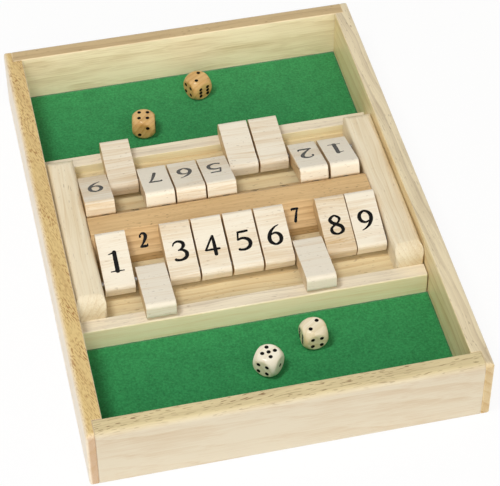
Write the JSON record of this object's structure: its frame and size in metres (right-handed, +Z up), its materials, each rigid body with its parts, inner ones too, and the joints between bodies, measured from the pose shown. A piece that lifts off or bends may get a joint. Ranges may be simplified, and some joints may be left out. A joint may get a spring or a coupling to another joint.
{
  "type": "shut the box game",
  "caption": "Wooden shut the box game for two sides: an open case with felt dice trays at both ends and hinged number tiles on steel rods beside a centre ridge.",
  "frame": {"origin": "middle of the underside, on the plane that the case stands on", "axes": "+X to the right as the front player sees it, +Y along the case's length towards the back player, +Z up"},
  "size_m": [0.24, 0.34, 0.044],
  "materials": {
    "wall_wood": "satin clear lacquer",
    "panel_wood": "sanded plywood",
    "rail_wood": "satin clear lacquer",
    "bed_wood": "satin clear lacquer",
    "ridge_wood": "satin clear lacquer",
    "tile_wood": "satin clear lacquer, black printed numbers",
    "green_felt": "matt wool felt",
    "rod_steel": "drawn steel wire",
    "cream_dice": "gloss lacquer, black pips",
    "brown_dice": "gloss lacquer, black pips"
  },
  "bodies": {
    "case": {"left_wall": "wall_wood", "right_wall": "wall_wood", "front_wall": "wall_wood", "back_wall": "wall_wood", "base_panel": "panel_wood", "front_felt": "green_felt", "back_felt": "green_felt", "front_rail": "rail_wood", "back_rail": "rail_wood", "bed_board": "bed_wood", "ridge_bar": "ridge_wood", "left_side_rail": "rail_wood", "right_side_rail": "rail_wood", "front_rod": "rod_steel", "back_rod": "rod_steel"},
    "front_tile_1": {"front_tile_1": "tile_wood"},
    "front_tile_2": {"front_tile_2": "tile_wood"},
    "front_tile_3": {"front_tile_3": "tile_wood"},
    "front_tile_4": {"front_tile_4": "tile_wood"},
    "front_tile_5": {"front_tile_5": "tile_wood"},
    "front_tile_6": {"front_tile_6": "tile_wood"},
    "front_tile_7": {"front_tile_7": "tile_wood"},
    "front_tile_8": {"front_tile_8": "tile_wood"},
    "front_tile_9": {"front_tile_9": "tile_wood"},
    "back_tile_1": {"back_tile_1": "tile_wood"},
    "back_tile_2": {"back_tile_2": "tile_wood"},
    "back_tile_3": {"back_tile_3": "tile_wood"},
    "back_tile_4": {"back_tile_4": "tile_wood"},
    "back_tile_5": {"back_tile_5": "tile_wood"},
    "back_tile_6": {"back_tile_6": "tile_wood"},
    "back_tile_7": {"back_tile_7": "tile_wood"},
    "back_tile_8": {"back_tile_8": "tile_wood"},
    "back_tile_9": {"back_tile_9": "tile_wood"},
    "front_die_left": {"front_die_left": "cream_dice"},
    "front_die_right": {"front_die_right": "cream_dice"},
    "back_die_left": {"back_die_left": "brown_dice"},
    "back_die_right": {"back_die_right": "brown_dice"}
  },
  "joints": [
    {"name": "front_tile_1_flip", "type": "hinge", "parent": "case", "child": "front_tile_1", "pos_m": [0, -0.04275, 0.02842], "axis": [1, 0, 0], "range_deg": [0, 155.2]},
    {"name": "front_tile_2_flip", "type": "hinge", "parent": "case", "child": "front_tile_2", "pos_m": [0, -0.04275, 0.02842], "axis": [1, 0, 0], "range_deg": [-155.2, 0]},
    {"name": "front_tile_3_flip", "type": "hinge", "parent": "case", "child": "front_tile_3", "pos_m": [0, -0.04275, 0.02842], "axis": [1, 0, 0], "range_deg": [0, 155.2]},
    {"name": "front_tile_4_flip", "type": "hinge", "parent": "case", "child": "front_tile_4", "pos_m": [0, -0.04275, 0.02842], "axis": [1, 0, 0], "range_deg": [0, 155.2]},
    {"name": "front_tile_5_flip", "type": "hinge", "parent": "case", "child": "front_tile_5", "pos_m": [0, -0.04275, 0.02842], "axis": [1, 0, 0], "range_deg": [0, 155.2]},
    {"name": "front_tile_6_flip", "type": "hinge", "parent": "case", "child": "front_tile_6", "pos_m": [0, -0.04275, 0.02842], "axis": [1, 0, 0], "range_deg": [0, 155.2]},
    {"name": "front_tile_7_flip", "type": "hinge", "parent": "case", "child": "front_tile_7", "pos_m": [0, -0.04275, 0.02842], "axis": [1, 0, 0], "range_deg": [-155.2, 0]},
    {"name": "front_tile_8_flip", "type": "hinge", "parent": "case", "child": "front_tile_8", "pos_m": [0, -0.04275, 0.02842], "axis": [1, 0, 0], "range_deg": [0, 155.2]},
    {"name": "front_tile_9_flip", "type": "hinge", "parent": "case", "child": "front_tile_9", "pos_m": [0, -0.04275, 0.02842], "axis": [1, 0, 0], "range_deg": [0, 155.2]},
    {"name": "back_tile_1_flip", "type": "hinge", "parent": "case", "child": "back_tile_1", "pos_m": [0, 0.04275, 0.02842], "axis": [-1, 0, 0], "range_deg": [0, 155.2]},
    {"name": "back_tile_2_flip", "type": "hinge", "parent": "case", "child": "back_tile_2", "pos_m": [0, 0.04275, 0.02842], "axis": [-1, 0, 0], "range_deg": [0, 155.2]},
    {"name": "back_tile_3_flip", "type": "hinge", "parent": "case", "child": "back_tile_3", "pos_m": [0, 0.04275, 0.02842], "axis": [-1, 0, 0], "range_deg": [-155.2, 0]},
    {"name": "back_tile_4_flip", "type": "hinge", "parent": "case", "child": "back_tile_4", "pos_m": [0, 0.04275, 0.02842], "axis": [-1, 0, 0], "range_deg": [-155.2, 0]},
    {"name": "back_tile_5_flip", "type": "hinge", "parent": "case", "child": "back_tile_5", "pos_m": [0, 0.04275, 0.02842], "axis": [-1, 0, 0], "range_deg": [0, 155.2]},
    {"name": "back_tile_6_flip", "type": "hinge", "parent": "case", "child": "back_tile_6", "pos_m": [0, 0.04275, 0.02842], "axis": [-1, 0, 0], "range_deg": [0, 155.2]},
    {"name": "back_tile_7_flip", "type": "hinge", "parent": "case", "child": "back_tile_7", "pos_m": [0, 0.04275, 0.02842], "axis": [-1, 0, 0], "range_deg": [0, 155.2]},
    {"name": "back_tile_8_flip", "type": "hinge", "parent": "case", "child": "back_tile_8", "pos_m": [0, 0.04275, 0.02842], "axis": [-1, 0, 0], "range_deg": [-155.2, 0]},
    {"name": "back_tile_9_flip", "type": "hinge", "parent": "case", "child": "back_tile_9", "pos_m": [0, 0.04275, 0.02842], "axis": [-1, 0, 0], "range_deg": [0, 155.2]},
    {"name": "front_die_left_lift", "type": "slide", "parent": "case", "child": "front_die_left", "axis": [0, 0, 1], "range_m": [0, 0.06]},
    {"name": "front_die_right_lift", "type": "slide", "parent": "case", "child": "front_die_right", "axis": [0, 0, 1], "range_m": [0, 0.06]},
    {"name": "back_die_left_lift", "type": "slide", "parent": "case", "child": "back_die_left", "axis": [0, 0, 1], "range_m": [0, 0.06]},
    {"name": "back_die_right_lift", "type": "slide", "parent": "case", "child": "back_die_right", "axis": [0, 0, 1], "range_m": [0, 0.06]}
  ]
}
